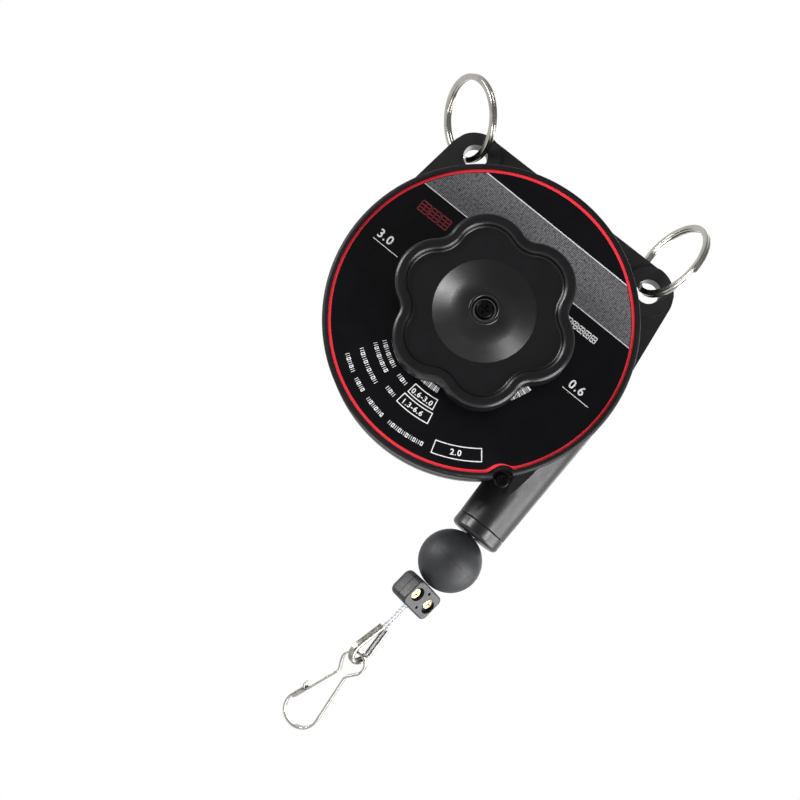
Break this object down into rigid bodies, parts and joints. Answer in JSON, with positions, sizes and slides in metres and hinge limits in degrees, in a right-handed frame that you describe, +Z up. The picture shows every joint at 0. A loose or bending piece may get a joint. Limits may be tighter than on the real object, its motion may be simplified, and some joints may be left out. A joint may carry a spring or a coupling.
{
  "type": "tool balancer",
  "caption": "Round spring balancer that hangs by two split rings and carries a hand tool on a steel rope with a stop ball and snap hook; a lobed knob sets the load",
  "frame": {"origin": "midway between the two ear holes from which the balancer hangs, in the middle of the ears' thickness", "axes": "+Z up, -Y towards the knob, +X towards the rope spout"},
  "size_m": [0.1293, 0.0685, 0.25],
  "materials": {
    "front_cover": "moulded glass-filled nylon, black, fine grain",
    "label_plate": "printed polycarbonate label on black, satin",
    "lock_screw": "blackened steel screw",
    "rear_shell": "moulded glass-filled nylon, black, fine grain",
    "spout_nozzle": "moulded acetal, black, smooth",
    "lock_ring": "sintered steel, oiled",
    "cover_bush": "sintered bronze bush",
    "rear_bush": "sintered bronze bush",
    "rear_cap": "pressed-in black nylon cap",
    "rope_lead": "galvanised steel rope",
    "ring_left": "nickel-plated spring steel",
    "ring_right": "nickel-plated spring steel",
    "arbor": "turned steel",
    "arbor_clip": "phosphated spring steel",
    "knob_screw": "blackened steel screw",
    "knob_washer": "zinc-plated steel",
    "knob_spring": "spring steel wire",
    "knob": "moulded phenolic, black, satin",
    "drum": "die-cast aluminium",
    "drum_bush_front": "sintered bronze bush",
    "drum_bush_rear": "sintered bronze bush",
    "spring_cover": "zinc-plated sheet steel",
    "cover_screws": "zinc-plated steel screws",
    "power_spring": "blued spring steel strip",
    "rope_winding": "galvanised steel rope",
    "stop_ball": "matt black rubber",
    "clamp_front": "moulded black nylon",
    "clamp_rear": "moulded black nylon",
    "clamp_screws": "brass cheese-head screws",
    "clamp_nuts": "brass nuts",
    "rope_eye": "galvanised steel rope, stranded",
    "thimble": "zinc-plated sheet steel",
    "snap_hook": "nickel-plated spring steel strip",
    "hook_arm": "nickel-plated spring steel strip"
  },
  "bodies": {
    "housing": {"front_cover": "front_cover", "label_plate": "label_plate", "lock_screw": "lock_screw", "rear_shell": "rear_shell", "spout_nozzle": "spout_nozzle", "lock_ring": "lock_ring", "cover_bush": "cover_bush", "rear_bush": "rear_bush", "rear_cap": "rear_cap", "rope_lead": "rope_lead"},
    "ring_left": {"ring_left": "ring_left"},
    "ring_right": {"ring_right": "ring_right"},
    "arbor": {"arbor": "arbor", "arbor_clip": "arbor_clip", "knob_screw": "knob_screw", "knob_washer": "knob_washer", "knob_spring": "knob_spring"},
    "knob": {"knob": "knob"},
    "drum": {"drum": "drum", "drum_bush_front": "drum_bush_front", "drum_bush_rear": "drum_bush_rear", "spring_cover": "spring_cover", "cover_screws": "cover_screws", "power_spring": "power_spring", "rope_winding": "rope_winding"},
    "rope_end": {"stop_ball": "stop_ball", "clamp_front": "clamp_front", "clamp_rear": "clamp_rear", "clamp_screws": "clamp_screws", "clamp_nuts": "clamp_nuts", "rope_eye": "rope_eye", "thimble": "thimble"},
    "hook": {"snap_hook": "snap_hook"},
    "hook_arm": {"hook_arm": "hook_arm"}
  },
  "joints": [
    {"name": "ring_left_swing", "type": "hinge", "parent": "housing", "child": "ring_left", "pos_m": [-0.04262, 0, 0], "axis": [0, 1, 0], "range_deg": [-25, 25]},
    {"name": "ring_right_swing", "type": "hinge", "parent": "housing", "child": "ring_right", "pos_m": [0.04262, 0, 0], "axis": [0, 1, 0], "range_deg": [-25, 25]},
    {"name": "tension_turn", "type": "hinge", "parent": "housing", "child": "arbor", "pos_m": [0, -0.021, -0.0517], "axis": [0, 1, 0], "continuous": true},
    {"name": "knob_pull", "type": "slide", "parent": "arbor", "child": "knob", "axis": [0, -1, 0], "range_m": [0, 0.004], "stiffness_N_per_m": 1500, "springref_m": -0.004, "deforming": ["knob_spring"]},
    {"name": "drum_spin", "type": "hinge", "parent": "housing", "child": "drum", "pos_m": [0, -0.021, -0.0517], "axis": [0, 1, 0], "range_deg": [0, 2280.4], "stiffness_Nm_per_rad": 0.01, "springref_deg": -3437.75},
    {"name": "rope_pull", "type": "slide", "parent": "housing", "child": "rope_end", "axis": [0, 0, -1], "range_m": [0, 2], "deforming": ["rope_lead"]},
    {"name": "hook_swing", "type": "hinge", "parent": "rope_end", "child": "hook", "pos_m": [0.04172, 0.004, -0.18071], "axis": [0.5704, 0.8192, -0.06], "range_deg": [-15, 40]},
    {"name": "arm_open", "type": "hinge", "parent": "hook", "child": "hook_arm", "pos_m": [0.03995, 0.00781, -0.18738], "axis": [-0.1009, -0.9374, -0.3333], "range_deg": [0, 12], "stiffness_Nm_per_rad": 0.2, "springref_deg": -5.73}
  ],
  "couplings": [
    {"joint": "rope_pull", "follows": "drum_spin", "m_per_rad": 0.05025}
  ]
}
